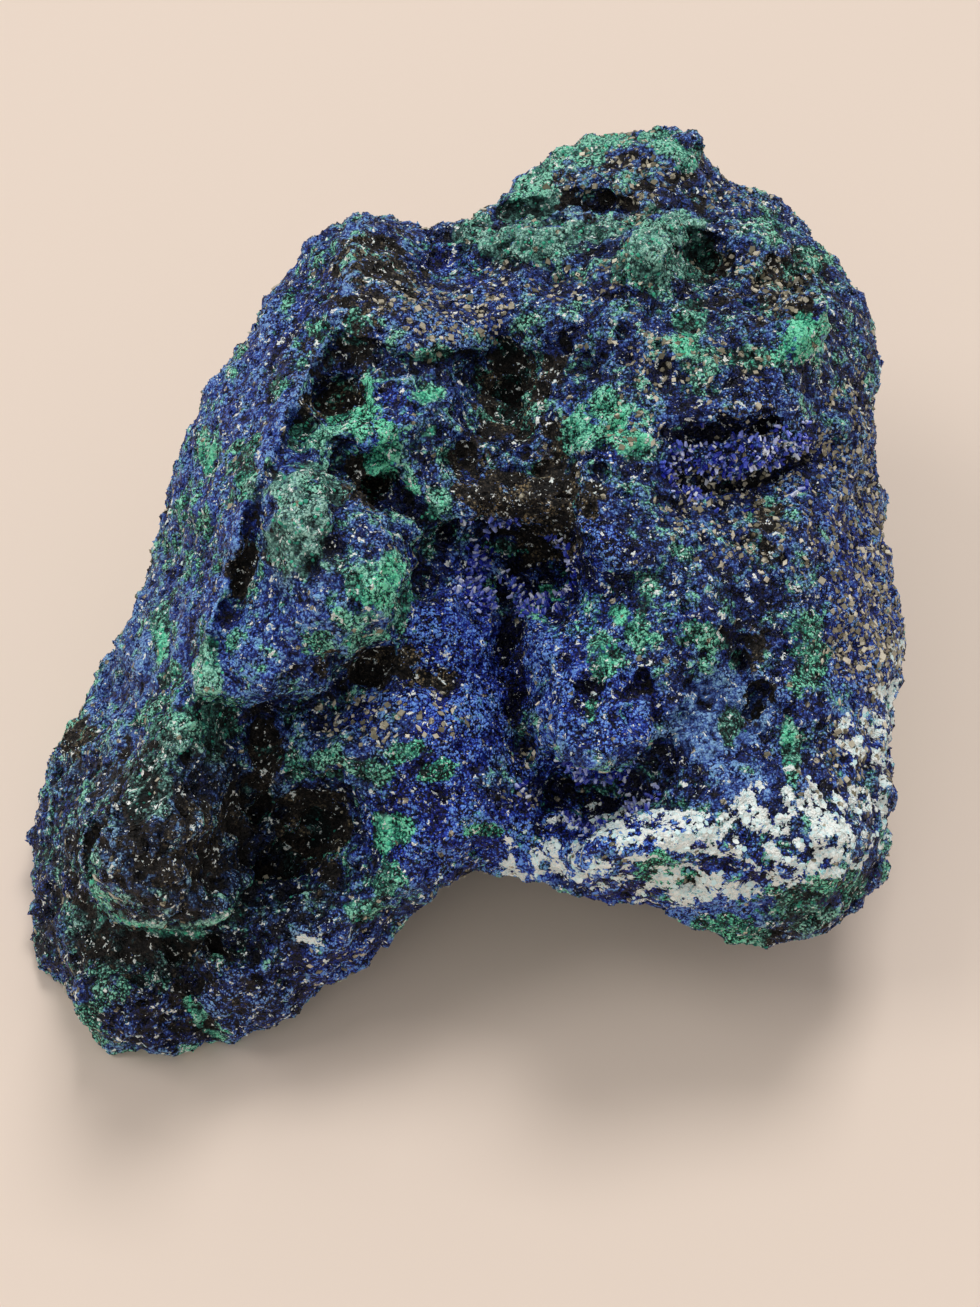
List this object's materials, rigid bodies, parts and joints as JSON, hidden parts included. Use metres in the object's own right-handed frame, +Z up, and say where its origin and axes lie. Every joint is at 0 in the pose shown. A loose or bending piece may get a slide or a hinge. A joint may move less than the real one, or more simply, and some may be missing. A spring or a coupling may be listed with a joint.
{
  "type": "azurite malachite specimen",
  "caption": "Rough hand-sized mass of azurite and malachite on brown rock, with ledges, pits and druse-lined hollows, resting on its own flat feet.",
  "frame": {"origin": "middle of the stone's box in X and Y, on the plane that it rests on", "axes": "+Z up; -Y towards the rich face, which is tipped up to the front; +X to the right of that face"},
  "size_m": [0.1516, 0.1503, 0.0909],
  "materials": {
    "azurite_malachite_rock": "rough granular blue and green mineral crust",
    "azurite_crystals": "small glossy deep blue crystals"
  },
  "bodies": {
    "root": {"stone": "azurite_malachite_rock", "azurite_druse_centre": "azurite_crystals", "azurite_druse_lower": "azurite_crystals", "azurite_druse_right": "azurite_crystals"}
  },
  "joints": []
}
